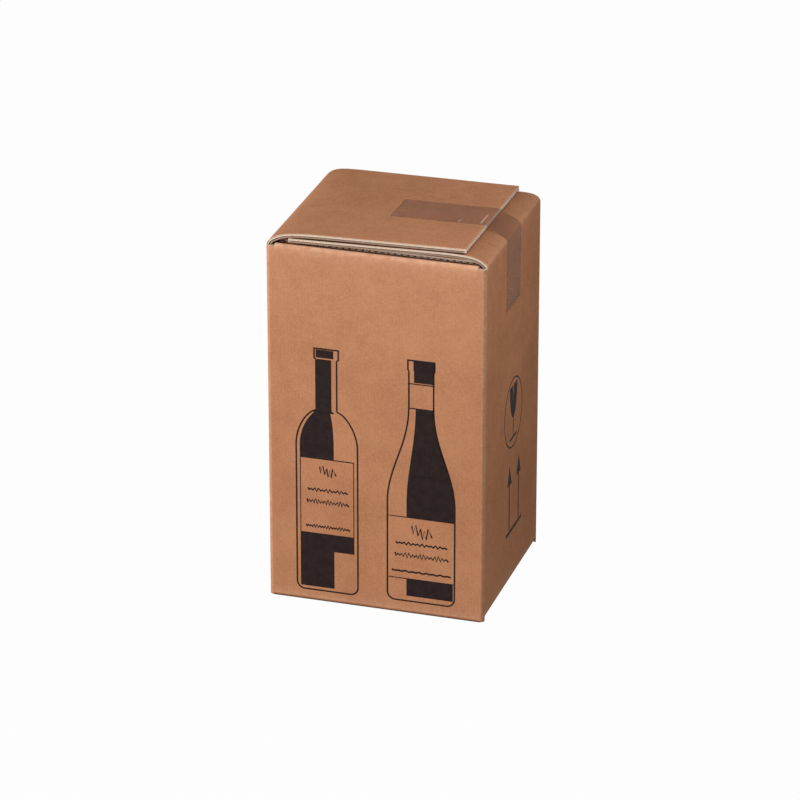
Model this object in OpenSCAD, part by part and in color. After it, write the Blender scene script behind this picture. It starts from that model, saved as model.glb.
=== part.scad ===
// Shipping carton for four upright wine bottles.
// One blank of double-wall corrugated board, folded and closed, with a strip of clear tape
// over the top flaps and two interlocking dividers inside.
// Millimetres. The origin is the middle of the base, +Z is up, the front wall faces -Y.

/* [Box] */
// Outside width, left wall to right wall
box_w = 226; // [180:1:300]
// Outside depth, front wall to back wall
box_d = 200; // [160:1:280]
// Height of the top fold lines over the floor
wall_h = 385; // [300:1:450]

/* [Board] */
// Thickness of the double-wall board
board_t = 4.2; // [3.8:0.1:5.5]
// Thickness of each of the three flat papers
liner_t = 0.4; // [0.3:0.05:0.5]
// Thickness of the wavy papers
medium_t = 0.3; // [0.2:0.05:0.4]
// Height of the fine flutes, which lie under the outer paper
fine_h = 1.2; // [0.9:0.1:1.5]
// Length of one wave of the fine flutes
fine_pitch = 3.6; // [3:0.1:4.5]
// Length of one wave of the coarse flutes
coarse_pitch = 6.6; // [5.5:0.1:8.5]
// How far the flutes are modelled open, in from a cut end
flute_cut = 8; // [4:0.5:15]
// How far the flat papers stand past the flutes on a side edge
edge_cut = 1.2; // [0.5:0.1:2]

/* [Folds] */
// Inside radius of a fold
fold_play = 0.3; // [0.2:0.1:1]
// Clearance from the side edge of an inner top flap to two layers of board at the corner
top_slot_play = 0.6; // [0.6:0.1:6]
// Distance from a corner of the box to the side edge of an outer bottom flap
bottom_slot = 4; // [3:0.5:7]
// How far the slots between two flaps are cut in past the fold lines
slot_depth = 2; // [1:0.1:4]
// Clearance between a flap and the end of the wall in the slot beside it
slot_kerf = 0.4; // [0.2:0.1:1]
// Clearance of an inner bottom flap to the wall beside it
side_play = 0.8; // [0.4:0.1:2]
// Clearance between two layers of board at the base
layer_gap = 0.2; // [0.1:0.1:1]
// Gap between the two outer bottom flaps, along the middle of the base
seam_gap = 1; // [0.4:0.2:4]
// Length of each inner bottom flap
inner_bottom_len = 98; // [60:1:110]
// Width of the glued tab inside the back wall
tab_w = 35; // [25:1:45]
// How far the tab stops short of the top and bottom fold lines
tab_end = 20; // [15:1:40]
// How much further the ends of the tab slant back to its free edge
tab_slant = 12; // [6:1:20]
// Gap at the raw edge of the back wall, where the carton is glued together
joint_gap = 0.6; // [0.3:0.1:1.5]

/* [Top flaps] */
// Strip of board that an outer top flap leaves bare in front of the opposite wall
outer_reveal = 22; // [21:1:26]
// Distance from the free edge of the front flap to the outside of the back wall
front_flap_short = 15; // [12:1:40]
// Angle at which the front flap dips behind its fold
front_dip = 35; // [25:1:45]
// Clearance between the level part of the front flap and the back flap
dip_clear = 1; // [0.6:0.1:3]
// Distance from the end of the front flap's bend to the free edge of the back flap
back_flap_clear = 6; // [5.5:0.5:20]
// How far the free edge of the back flap lies under the fold line, left end
back_sag_left = 3; // [2.8:0.1:3.2]
// How far the free edge of the back flap lies under the fold line, right end
back_sag_right = 3; // [2.8:0.1:3.2]
// Spring of the right flap over two layers of board, at the front
right_lift_front = 2.6; // [2.5:0.1:2.8]
// Fall of the right flap from its arch to its free edge, at the front
right_fall_front = 5.2; // [5:0.1:5.3]
// Spring of the right flap over one layer of board, at the back
right_lift_back = 1.6; // [1.6:0.1:2]
// Fall of the right flap from its arch to its free edge, at the back
right_fall_back = 1.1; // [0.8:0.1:1.4]
// Spring of the left flap over two layers of board, at the front
left_lift_front = 3.2; // [3:0.1:8]
// Rise of the left flap from its arch to its free edge, at the front
left_rise_front = 4.2; // [2:0.1:8]
// Spring of the left flap over two layers of board, at the back
left_lift_back = 1.4; // [1.3:0.1:4]
// Rise of the left flap from its arch to its free edge, at the back
left_rise_back = 1.6; // [1:0.1:5]
// Distance in which the arch of the right flap levels out, at the front
right_reach_front = 10; // [7:0.5:10.5]
// Distance in which the arch of the right flap levels out, at the back
right_reach_back = 4.5; // [3.5:0.1:4.5]
// Distance in which the arch of the left flap levels out, at the front
left_reach_front = 11; // [6:0.5:11]
// Distance in which the arch of the left flap levels out, at the back
left_reach_back = 7; // [5:0.5:7.5]

/* [Tape] */
// Width of the tape
tape_w = 50; // [25:1:75]
// Thickness of the tape
tape_t = 0.1; // [0.05:0.01:0.2]
// Clearance of the tape over the board
tape_gap = 0.15; // [0.1:0.01:0.3]
// Length of tape on the left flap, back from its free edge
tape_on_flap = 99; // [40:1:150]
// Length of tape on the right wall, below the fold line
tape_on_wall = 77; // [30:1:150]

/* [Dividers] */
// Thickness of a divider
divider_t = 3; // [2:0.1:4]
// Clearance from a divider's end to the wall
divider_end_play = 1; // [0.5:0.1:4]
// Clearance from the dividers to the front flap over them
divider_headroom = 0.5; // [0.3:0.1:10]
// Clearance of a divider in the other one's slot, both sides together
divider_slot_play = 0.5; // [0.2:0.1:1.5]

/* [Hidden] */
$fn = 48;

kraft = [0.74, 0.53, 0.39];
kraft_inside = [0.66, 0.48, 0.36];
tape_clear = [0.62, 0.44, 0.33];

fold_r = board_t + fold_play;
ring_top = wall_h - fold_r;
coarse_h = board_t - 3 * liner_t - fine_h;
fine_from = liner_t;
coarse_from = 2 * liner_t + fine_h;

side_flap_w = box_d - 2 * (board_t + side_play);
inner_top_w = box_w - 2 * (2 * board_t + top_slot_play);
outer_bottom_w = box_w - 2 * bottom_slot;
outer_len = box_w - outer_reveal;
inner_bottom_z = board_t + layer_gap;
floor_z = inner_bottom_z + board_t;

arc_steps = 8;
arch_steps = 14;
past = 1;
stub_short = 0.1;
mouth_share = 0.41;

// A flap is a list of stations along its outer paper, from the wall over the fold to the free
// edge. A station is [[distance from the wall, height over the fold line], outward normal].

// The wall below the fold, at the two heights given.
function stub(from, to) = [for (z = [from, to]) [[0, z], [-1, 0]]];

// A bend of the outer paper from upright to the given angle over the level.
function bend(centre_z, angle) =
    [for (k = [0:arc_steps])
        let (a = 180 - (90 - angle) * k / arc_steps)
        [[fold_r * (1 + cos(a)), centre_z + fold_r * sin(a)], [cos(a), sin(a)]]];

// A straight run from a point at a slope, to the given distance from the wall.
function run(start, slope, to) =
    let (n = [-slope, 1] / norm([-slope, 1]))
    [[[to, start[1] + slope * (to - start[0])], n]];

// An arch: it rises by crown within a few times reach, and by rise over the whole length.
function arch_z(crown, reach, rise, length, d) = crown * (1 - exp(-d / reach)) + rise * d / length;
function arch_slope(crown, reach, rise, length, d) = crown / reach * exp(-d / reach) + rise / length;
function arch_station(crown, reach, rise, length, d) =
    let (slope = arch_slope(crown, reach, rise, length, d))
    [[d, arch_z(crown, reach, rise, length, d)], [-slope, 1] / norm([-slope, 1])];

// Stations of an outer top flap, which springs from its fold and then levels out.
function arched(crown, reach, rise, length) =
    let (angle = atan(arch_slope(crown, reach, rise, length, 0)))
    let (start = fold_r * (1 - sin(angle)))
    let (centre_z = arch_z(crown, reach, rise, length, start) - fold_r * cos(angle))
    concat(
        stub(-fold_r, centre_z - stub_short),
        bend(centre_z, angle),
        [for (k = [1:arch_steps])
            arch_station(crown, reach, rise, length, start + (length - start) * pow(k / arch_steps, 2))]);

// Stations of the back top flap, which runs straight to the given height at its free edge.
function straight(end_z, length) =
    let (angle = atan(end_z / (length - fold_r)))
    let (arc = bend(-fold_r, angle))
    concat(arc, run(arc[arc_steps][0], tan(angle), length));

// Stations of the front top flap, which dips behind its fold and then lies level.
function dipped(depth, length) =
    let (arc = bend(-fold_r, -front_dip))
    let (from = arc[arc_steps][0])
    let (drop = depth + from[1])
    let (reach = drop / tan(front_dip))
    concat(arc, [for (k = [1:arch_steps])
        let (d = (length - from[0]) * pow(k / arch_steps, 2))
        let (slope = -drop / reach * exp(-d / reach))
        [[from[0] + d, from[1] - drop * (1 - exp(-d / reach))], [-slope, 1] / norm([-slope, 1])]]);

// The stations at a share of the way from one side edge to the other.
function between(side_a, side_b, share) =
    [for (k = [0:len(side_a) - 1]) side_a[k] * (1 - share) + side_b[k] * share];

// The points at a depth under the outer paper, at one place across the flap.
function layer(stations, depth, y) =
    [for (s = stations) [s[0][0] - depth * s[1][0], y, s[0][1] - depth * s[1][1]]];

// A sheet ruled from one side edge to the other, between two depths under the outer paper.
module ruled_sheet(side_a, side_b, y_a, y_b, top, under) {
    m = len(side_a);
    last = m - 1;
    spans = [0:m - 2];
    polyhedron(
        points = concat(
            layer(side_a, top, y_a), layer(side_a, under, y_a),
            layer(side_b, top, y_b), layer(side_b, under, y_b)),
        faces = concat(
            [for (i = spans) [i, 2 * m + i, 2 * m + i + 1]],
            [for (i = spans) [i, 2 * m + i + 1, i + 1]],
            [for (i = spans) [m + i, m + i + 1, 3 * m + i + 1]],
            [for (i = spans) [m + i, 3 * m + i + 1, 3 * m + i]],
            [for (i = spans) [i, i + 1, m + i + 1, m + i]],
            [for (i = spans) [2 * m + i + 1, 2 * m + i, 3 * m + i, 3 * m + i + 1]],
            [[0, m, 3 * m, 2 * m]],
            [[m + last, last, 2 * m + last], [m + last, 2 * m + last, 3 * m + last]]));
}

// A flap with the same section all the way across.
module even_sheet(stations, width) {
    outside = [for (s = stations) s[0]];
    inside = [for (k = [len(stations) - 1:-1:0]) stations[k][0] - board_t * stations[k][1]];
    translate([0, width, 0])
        rotate([90, 0, 0])
            linear_extrude(width)
                polygon(concat(outside, inside));
}

// The open flutes of one layer, seen on a cut end: on each side of the wavy paper, one pocket a wave.
module flute_mouths(width, height, pitch) {
    steps = 4;
    half_gap = mouth_share * pitch;
    swing = (height - medium_t) / 2;
    count = floor(width / pitch) - 2;
    margin = (width - count * pitch) / 2;
    wave = [for (k = [0:steps])
        let (u = half_gap * (2 * k / steps - 1))
        [u, height / 2 + medium_t / 2 - swing * cos(360 * u / pitch)]];
    upper = concat(wave, [[half_gap, height], [-half_gap, height]]);
    for (k = [0:count - 1]) {
        translate([margin + (k + 0.25) * pitch, 0])
            polygon(upper);
        translate([margin + (k + 0.75) * pitch, height])
            mirror([0, 1])
                polygon(upper);
    }
}

// Both layers of open flutes in the free edge of a flap.
module open_end(side_a, side_b, width) {
    a = side_a[len(side_a) - 1][0];
    b = side_b[len(side_b) - 1][0];
    translate([a[0] - flute_cut, 0, a[1]])
        rotate([atan((b[1] - a[1]) / width), 0, 0])
            rotate([90, 0, 90])
                linear_extrude(flute_cut + past) {
                    translate([0, -fine_from - fine_h])
                        flute_mouths(width, fine_h, fine_pitch);
                    translate([0, -coarse_from - coarse_h])
                        flute_mouths(width, coarse_h, coarse_pitch);
                }
}

// An arched flap whose two side edges show the three papers, with a groove at each layer of flutes.
// Its section has four places across the flap and six depths, and each station repeats it.
module edged_sheet(side_a, side_b, width) {
    places = [0, edge_cut, width - edge_cut, width];
    depths = [0, liner_t, coarse_from - liner_t, coarse_from, board_t - liner_t, board_t];
    outline = [
        [0, 0], [1, 0], [2, 0], [3, 0],
        [3, 1], [2, 1], [2, 2], [3, 2], [3, 3], [2, 3], [2, 4], [3, 4], [3, 5],
        [2, 5], [1, 5], [0, 5],
        [0, 4], [1, 4], [1, 3], [0, 3], [0, 2], [1, 2], [1, 1], [0, 1]];
    cells = concat(
        [for (row = [0:4]) [1, row]],
        [for (row = [0, 2, 4]) for (column = [0, 2]) [column, row]]);
    m = len(side_a);
    ring = len(outline);
    papers = [for (y = places) for (depth = depths) layer(between(side_a, side_b, y / width), depth, y)];
    function at(i, place) = i * ring + search([place], outline)[0];
    polyhedron(
        points = [for (i = [0:m - 1]) for (place = outline) papers[place[0] * len(depths) + place[1]][i]],
        faces = concat(
            [for (i = [0:m - 2]) for (k = [0:ring - 1])
                let (n = (k + 1) % ring)
                each [
                    [i * ring + k, i * ring + n, (i + 1) * ring + n],
                    [i * ring + k, (i + 1) * ring + n, (i + 1) * ring + k]]],
            [for (c = cells) let (corners = [c, c + [1, 0], c + [1, 1], c + [0, 1]])
                each [
                    [for (k = [2, 1, 0]) at(0, corners[k])],
                    [for (k = [3, 2, 0]) at(0, corners[k])],
                    [for (k = [0, 1, 2]) at(m - 1, corners[k])],
                    [for (k = [0, 2, 3]) at(m - 1, corners[k])]]]));
}

// Outer top flaps: the left one lies over the right one.
right_front = arched(2 * board_t + right_lift_front, right_reach_front, -right_fall_front, outer_len);
right_back = arched(board_t + right_lift_back, right_reach_back, -right_fall_back, outer_len);
left_front = arched(2 * board_t + left_lift_front, left_reach_front, left_rise_front, outer_len);
left_back = arched(2 * board_t + left_lift_back, left_reach_back, left_rise_back, outer_len);

// Inner top flaps: the back one lies over the front one.
back_len = box_d - fold_r * (1 + sin(front_dip)) - back_flap_clear;
back_left = straight(board_t - back_sag_left, back_len);
back_right = straight(board_t - back_sag_right, back_len);
front_stations = dipped(board_t + dip_clear, box_d - front_flap_short);

// Bottom flaps: the front and back ones lie outside, the left and right ones inside.
outer_bottom = concat(bend(-fold_r, 0), run([0, 0], 0, (box_d - seam_gap) / 2));
inner_bottom = concat(bend(-fold_r, 0), run([0, 0], 0, inner_bottom_len));

module left_flap() {
    translate([-box_w / 2, -side_flap_w / 2, wall_h])
        difference() {
            edged_sheet(left_front, left_back, side_flap_w);
            open_end(left_front, left_back, side_flap_w);
        }
}

module right_flap() {
    translate([box_w / 2, -side_flap_w / 2, wall_h])
        mirror([1, 0, 0])
            edged_sheet(right_front, right_back, side_flap_w);
}

module back_flap() {
    translate([-inner_top_w / 2, box_d / 2, wall_h])
        rotate([0, 0, -90])
            difference() {
                ruled_sheet(back_left, back_right, 0, inner_top_w, 0, board_t);
                open_end(back_left, back_right, inner_top_w);
            }
}

module front_flap() {
    translate([inner_top_w / 2, -box_d / 2, wall_h])
        rotate([0, 0, 90])
            even_sheet(front_stations, inner_top_w);
}

// The four bottom flaps, folded up from the walls' lower ends.
module bottom_flaps() {
    mirror([0, 0, 1]) {
        for (turn = [0, 180])
            rotate([0, 0, turn])
                translate([outer_bottom_w / 2, -box_d / 2, 0])
                    rotate([0, 0, 90])
                        even_sheet(outer_bottom, outer_bottom_w);
        for (turn = [0, 180])
            rotate([0, 0, turn])
                translate([-box_w / 2, -side_flap_w / 2, -inner_bottom_z])
                    even_sheet(inner_bottom, side_flap_w);
    }
}

// Plan of the walls outside: three folded corners and, back left, one glued corner.
module plan() {
    in_w = box_w / 2 - fold_r;
    in_d = box_d / 2 - fold_r;
    square([box_w, 2 * in_d], center = true);
    square([2 * in_w, box_d], center = true);
    for (corner = [[1, 1], [1, -1], [-1, -1]])
        translate([corner[0] * in_w, corner[1] * in_d])
            circle(fold_r);
    translate([-box_w / 2, in_d])
        square(fold_r);
}

// The ring of board between two heights.
module ring(from, to) {
    translate([0, 0, from])
        linear_extrude(to - from)
            difference() {
                plan();
                square([box_w - 2 * board_t, box_d - 2 * board_t], center = true);
            }
}

// The ends of the walls in the four slots beside flaps of the given width.
module slot_ends(flap_w, from, to) {
    intersection() {
        ring(from, to);
        for (side = [0, 1])
            mirror([side, 0, 0])
                for (end = [0, 1])
                    mirror([0, end, 0])
                        translate([flap_w / 2 + slot_kerf, side_flap_w / 2 + slot_kerf, 0])
                            cube([box_w, box_d, wall_h]);
    }
}

// The four walls, from the lower bends to the upper ones, and their ends in the slots.
module walls() {
    low_cut = inner_bottom_z + fold_r;
    difference() {
        union() {
            ring(fold_r, ring_top);
            slot_ends(inner_top_w, ring_top - past, wall_h - slot_depth);
            slot_ends(outer_bottom_w, slot_depth, fold_r + past);
        }
        translate([-box_w / 2 - past, -side_flap_w / 2, 0])
            cube([box_w + 2 * past, side_flap_w, low_cut]);
        translate([-box_w / 2 - past, box_d / 2 - board_t - joint_gap, 0])
            cube([past + board_t - liner_t, joint_gap, wall_h]);
    }
}

// The tab of the maker's joint, glued to the inside of the back wall.
module glue_tab() {
    low = tab_end;
    high = wall_h - tab_end;
    translate([-box_w / 2 + board_t, box_d / 2 - board_t, 0])
        rotate([90, 0, 0])
            linear_extrude(board_t)
                polygon([[0, low], [tab_w, low + tab_slant], [tab_w, high - tab_slant], [0, high]]);
}

module carton() {
    color(kraft)
        union() {
            walls();
            glue_tab();
            bottom_flaps();
            front_flap();
            back_flap();
            right_flap();
            left_flap();
        }
}

// Dividers: they stand on the inner bottom flaps and end under the front flap.
divider_top = wall_h - (board_t + dip_clear) - board_t - divider_headroom;
divider_h = divider_top - floor_z;

// A board with a slot for the other one, in its upper or its lower half.
module slotted_board(length, slot_from) {
    slot_w = divider_t + divider_slot_play;
    rotate([90, 0, 0])
        translate([0, 0, -divider_t / 2])
            linear_extrude(divider_t)
                difference() {
                    translate([-length / 2, floor_z])
                        square([length, divider_h]);
                    translate([-slot_w / 2, slot_from])
                        square([slot_w, divider_h / 2 + past]);
                }
}

module divider_long() {
    color(kraft_inside)
        slotted_board(box_w - 2 * (board_t + divider_end_play), floor_z + divider_h / 2);
}

module divider_cross() {
    color(kraft_inside)
        rotate([0, 0, 90])
            slotted_board(box_d - 2 * (board_t + divider_end_play), floor_z - past);
}

// Tape: along the left flap, down over its free edge, along the right flap, over the fold and
// down the wall. It lands on the right flap at this station.
landing = arc_steps + 5;

// Places along the tape at one of its side edges, as [[x, z], outward normal].
function tape_route(y) =
    let (share = 0.5 + y / side_flap_w)
    let (left = between(left_front, left_back, share))
    let (right = between(right_front, right_back, share))
    let (left_x = -box_w / 2)
    let (right_x = box_w / 2)
    let (from = outer_len - tape_on_flap)
    let (first = between(
        [arch_station(2 * board_t + left_lift_front, left_reach_front, left_rise_front, outer_len, from)],
        [arch_station(2 * board_t + left_lift_back, left_reach_back, left_rise_back, outer_len, from)],
        share))
    let (over = concat(first, [for (s = left) if (s[0][0] > from + past) s]))
    concat(
        [for (s = over) [[left_x + s[0][0], wall_h + s[0][1]], s[1]]],
        [for (k = [landing:-1:1]) [[right_x - right[k][0][0], wall_h + right[k][0][1]],
            [-right[k][1][0], right[k][1][1]]]],
        [[[right_x, wall_h - tape_on_wall], [1, 0]]]);

module closing_tape() {
    color(tape_clear)
        ruled_sheet(tape_route(-tape_w / 2), tape_route(tape_w / 2),
            -tape_w / 2, tape_w / 2, -tape_gap - tape_t, -tape_gap);
}

carton();
divider_long();
divider_cross();
closing_tape();
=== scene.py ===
# %% [markdown]
# # A wine bottle box, folded from double-wall board
# The box is one blank of brown corrugated board, folded round, glued at one corner and closed with
# a strip of clear tape. The solids of the part come in first as a fixed frame, and each visible
# piece is then worked out with numpy on the same sizes. So the looks can't drift from the part.

# %% Load the frame
from collections import namedtuple

import bpy
import numpy as np
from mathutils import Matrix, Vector


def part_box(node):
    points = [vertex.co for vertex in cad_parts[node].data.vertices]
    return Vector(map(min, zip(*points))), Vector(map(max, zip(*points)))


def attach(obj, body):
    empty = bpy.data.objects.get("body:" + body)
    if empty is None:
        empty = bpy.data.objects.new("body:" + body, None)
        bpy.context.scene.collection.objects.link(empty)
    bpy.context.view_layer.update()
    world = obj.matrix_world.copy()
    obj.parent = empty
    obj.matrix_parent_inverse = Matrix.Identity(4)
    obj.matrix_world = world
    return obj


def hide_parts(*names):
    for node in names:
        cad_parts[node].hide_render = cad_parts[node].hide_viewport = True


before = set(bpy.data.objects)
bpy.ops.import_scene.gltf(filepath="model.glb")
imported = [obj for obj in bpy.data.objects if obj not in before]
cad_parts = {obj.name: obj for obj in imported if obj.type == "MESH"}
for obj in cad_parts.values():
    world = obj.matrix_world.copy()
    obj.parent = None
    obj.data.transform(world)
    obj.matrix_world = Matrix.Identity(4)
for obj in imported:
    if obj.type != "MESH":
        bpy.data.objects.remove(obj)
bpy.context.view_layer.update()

print("nodes:", sorted(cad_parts))

# %% [markdown]
# ## The sizes of the box
# Everything is drawn in millimetres and turned into metres when a mesh is made. The width and the
# depth are read off the carton. The board is double-wall: three flat papers hold two wavy ones, a
# fine wave under the outer paper and a coarse wave towards the inside.

# %% Sizes, in millimetres
MM = 0.001
carton_low, carton_high = (np.array(corner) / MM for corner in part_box("carton"))
BOX_W, BOX_D = (carton_high - carton_low)[:2]
WALL_H = 385.0
BOARD_T = 4.2
LINER_T = 0.4
MEDIUM_T = 0.6
FINE_H, FINE_PITCH = 1.2, 3.6
COARSE_H, COARSE_PITCH = BOARD_T - 3 * LINER_T - FINE_H, 6.6
FOLD_SLACK, SIDE_SLACK, INNER_SLACK, BOTTOM_SLACK = 0.3, 0.8, 0.6, 4.0
FOLD_R = BOARD_T + FOLD_SLACK
RING_TOP = WALL_H - FOLD_R
LAYER_GAP = 0.2
INNER_BOTTOM_Z = BOARD_T + LAYER_GAP
SIDE_FLAP_W = BOX_D - 2 * (BOARD_T + SIDE_SLACK)
INNER_TOP_W = BOX_W - 2 * (2 * BOARD_T + INNER_SLACK)
OUTER_BOTTOM_W = BOX_W - 2 * BOTTOM_SLACK
OUTER_REVEAL = 22.0
OUTER_LEN = BOX_W - OUTER_REVEAL
SLOT_DEPTH = 2.0
SLOT_KERF = 0.4
print(f"box {BOX_W:.1f} x {BOX_D:.1f} x {WALL_H:.1f}, side flaps {SIDE_FLAP_W:.1f} x {OUTER_LEN:.1f}")

# %% [markdown]
# ## The camera
# A long lens a few metres away, a little above the box and to its right. A product photographer
# stands back like this so that the upright edges stay nearly parallel. The numbers were fitted to
# the seven corners of the box that can be seen.

# %% Camera
CAMERA_AT = Vector((1.2282, -3.9972, 2.0405))
CAMERA_TURN, CAMERA_DROP = np.radians([17.15, 23.88])
CAMERA_LENS = 203.4

camera = bpy.data.objects.new("camera", bpy.data.cameras.new("camera"))
bpy.context.scene.collection.objects.link(camera)
camera.data.lens = CAMERA_LENS
camera.data.sensor_width = 36.0
camera.location = CAMERA_AT
looks_along = Vector((
    -np.sin(CAMERA_TURN) * np.cos(CAMERA_DROP),
    np.cos(CAMERA_TURN) * np.cos(CAMERA_DROP),
    -np.sin(CAMERA_DROP)))
camera.rotation_euler = looks_along.to_track_quat("-Z", "Y").to_euler()
bpy.context.scene.camera = camera
bpy.context.scene.view_settings.view_transform = "Standard"
print("camera at", [round(x, 3) for x in camera.location])

# %% [markdown]
# ## Nodes in a few words
# A material is a small network of nodes. One helper adds a node, sets what is given and links what
# is a socket, so that each finish below reads as a list of what it is made of.

# %% Node helpers
def node(tree, kind, inputs=None, **settings):
    """A new node. A value in inputs is linked if it is a socket, and set if it is a number or colour."""
    made = tree.nodes.new(kind)
    for name, value in settings.items():
        setattr(made, name, value)
    for key, value in (inputs or {}).items():
        if isinstance(value, bpy.types.NodeSocket):
            tree.links.new(value, made.inputs[key])
        else:
            made.inputs[key].default_value = value
    return made


def noise(tree, vector, scale, detail=2.0):
    """Cloudy noise from 0 to 1 with spots about 1 / scale metres across."""
    inputs = {"Vector": vector, "Scale": scale, "Detail": detail}
    return node(tree, "ShaderNodeTexNoise", inputs).outputs["Fac"]


def sums(tree, first, second, share=1.0):
    """first + share * second."""
    return node(tree, "ShaderNodeMath", {0: second, 1: share, 2: first}, operation="MULTIPLY_ADD").outputs[0]


def times(tree, first, second):
    """first * second."""
    return node(tree, "ShaderNodeMath", {0: first, 1: second}, operation="MULTIPLY").outputs[0]


def between(tree, value, low, high, start=0.0, end=1.0):
    """A smooth step: start below low, end above high."""
    return node(
        tree, "ShaderNodeMapRange", {0: value, 1: low, 2: high, 3: start, 4: end},
        interpolation_type="SMOOTHSTEP").outputs[0]


def mixed(tree, share, colour, other):
    """colour where share is 0, other where it is 1."""
    return node(tree, "ShaderNodeMix", {0: share, 6: colour, 7: other}, data_type="RGBA").outputs[2]


def bumps(tree, shader, height, strength, distance):
    """Small bumps: a height from 0 to 1, over a distance in metres."""
    made = node(tree, "ShaderNodeBump", {"Height": height, "Strength": strength, "Distance": distance})
    tree.links.new(made.outputs[0], shader.inputs["Normal"])


def new_finish(name, roughness, specular, alpha=1.0):
    """A plain material with its gloss set, its node tree and its shader."""
    material = bpy.data.materials.new(name)
    material.use_nodes = True
    shader = material.node_tree.nodes["Principled BSDF"]
    shader.inputs["Roughness"].default_value = roughness
    shader.inputs["Specular IOR Level"].default_value = specular
    shader.inputs["Alpha"].default_value = alpha
    return material, material.node_tree, shader


# %% [markdown]
# ## Floor and light
# The box stands in a white studio. The camera sees the floor and the world as white, while the light
# that reaches the box stays at a plain level: one large soft lamp from the front left gives the
# front wall its full brown, an even glow from all round keeps the top and the right wall darker, and
# a small lamp from the right lifts the top of the right wall.

# %% Stage
FLOOR_HALF = 20.0
FLOOR_GREY = (0.34, 0.31, 0.27, 1.0)
FLOOR_WHITE_SHARE = 0.98
GLOW = 0.215
WHITE = (1.0, 1.0, 1.0, 1.0)


def seen_directly(tree):
    """1 for a ray from the camera, a mirror or a clear film, 0 for one that carries light to the box."""
    path = node(tree, "ShaderNodeLightPath")
    seen = sums(tree, path.outputs["Is Camera Ray"], path.outputs["Is Glossy Ray"])
    seen = sums(tree, seen, path.outputs["Is Transmission Ray"])
    return node(tree, "ShaderNodeClamp", {0: seen}).outputs[0]


floor_mesh = bpy.data.meshes.new("floor")
floor_mesh.from_pydata(
    [(-FLOOR_HALF, -FLOOR_HALF, 0), (FLOOR_HALF, -FLOOR_HALF, 0),
     (FLOOR_HALF, FLOOR_HALF, 0), (-FLOOR_HALF, FLOOR_HALF, 0)], [], [(0, 1, 2, 3)])
floor = bpy.data.objects.new("floor", floor_mesh)
bpy.context.scene.collection.objects.link(floor)
floor_finish, tree, shader = new_finish("studio_floor", 0.9, 0.0)
shader.inputs["Base Color"].default_value = FLOOR_GREY
white = node(tree, "ShaderNodeEmission", {"Color": WHITE, "Strength": 1.0}).outputs[0]
share = times(tree, seen_directly(tree), FLOOR_WHITE_SHARE)
both = node(tree, "ShaderNodeMixShader", {0: share, 1: shader.outputs[0], 2: white}).outputs[0]
tree.links.new(both, tree.nodes["Material Output"].inputs["Surface"])
floor_mesh.materials.append(floor_finish)

world = bpy.data.worlds.new("studio")
bpy.context.scene.world = world
world.use_nodes = True
tree = world.node_tree
strength = between(tree, seen_directly(tree), 0.0, 1.0, GLOW, 1.0)
tree.links.new(strength, tree.nodes["Background"].inputs["Strength"])
tree.nodes["Background"].inputs["Color"].default_value = WHITE
print("floor and world ready, glow", GLOW)

# %% Lamps
def soft_lamp(name, at, towards, size, watts):
    """A square lamp at a place, turned to a point. A wide lamp gives soft shadows."""
    data = bpy.data.lights.new(name, "AREA")
    data.size = size
    data.energy = watts
    lamp = bpy.data.objects.new(name, data)
    lamp.location = at
    lamp.rotation_euler = (Vector(towards) - Vector(at)).to_track_quat("-Z", "Y").to_euler()
    bpy.context.scene.collection.objects.link(lamp)


soft_lamp("key_front_left", (-1.57, -1.58, 0.99), (-0.02, -0.05, 0.25), 0.8, 50.0)
soft_lamp("fill_from_right", (0.50, -0.30, 0.80), (0.05, -0.05, 0.3), 0.40, 2.6)

# %% [markdown]
# ## Sheets as surfaces
# Paper and board are sheets: a surface with an outer and an inner side and a thin rim. Each sheet is
# a grid of points, worked out as one array, and a second grid a little deeper. The rim joins the two,
# so that every shell is closed. A sheet also keeps where each point lies on the flat blank, across
# and along the flutes, because the pattern of the paper follows the blank round the folds.

# %% Closed sheets
Shell = namedtuple("Shell", "points faces finish sheet wear")
BOARD_DEPTHS = (0.0, BOARD_T)
PAPER_DEPTHS = (LINER_T / 2, LINER_T / 2)


def slab(outer, inner, across, along, wear, depths=BOARD_DEPTHS, inner_wear_and_shading=None):
    """A closed sheet between two grids of points, each of shape (rows, columns, 3).

    One face per cell on both sides, and one per rim edge. If the volume that the faces enclose comes
    out negative, all of them are turned round. sheet keeps (across, along, depth) of each point.
    The paling and painted shade of each point is the same on both sides, unless given for the inner side."""
    rows, columns = outer.shape[:2]
    count = rows * columns
    number = np.arange(count).reshape(rows, columns)
    cells = np.stack([number[:-1, :-1], number[:-1, 1:], number[1:, 1:], number[1:, :-1]], -1).reshape(-1, 4)
    edge = np.concatenate([number[0, :-1], number[:-1, -1], number[-1, :0:-1], number[:0:-1, 0]])
    after = np.roll(edge, -1)
    rim = np.stack([edge, edge + count, after + count, after], -1)
    faces = np.concatenate([cells, cells[:, ::-1] + count, rim])
    points = np.concatenate([outer.reshape(-1, 3), inner.reshape(-1, 3)])
    a, b, c, d = points[faces].transpose(1, 0, 2)
    if np.einsum("ij,ij->", a, np.cross(b, c) + np.cross(c, d)) < 0:
        faces = faces[:, ::-1]
    flat = np.stack([np.broadcast_to(across, (rows, columns)), np.broadcast_to(along, (rows, columns))], -1)
    flat = np.tile(flat.reshape(-1, 2), (2, 1))
    deep = np.repeat(depths, count)[:, None]
    both = (wear, wear if inner_wear_and_shading is None else inner_wear_and_shading)
    paling_colour = np.concatenate([np.broadcast_to(one, (rows, columns)).ravel() for one in both])
    finish = (np.arange(len(faces)) >= 2 * len(cells)).astype(np.int32)
    return Shell(points, faces, finish, np.hstack([flat, deep]), paling_colour)


# %% From shells to a piece
SHARP_ANGLE = np.radians(42)


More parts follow.
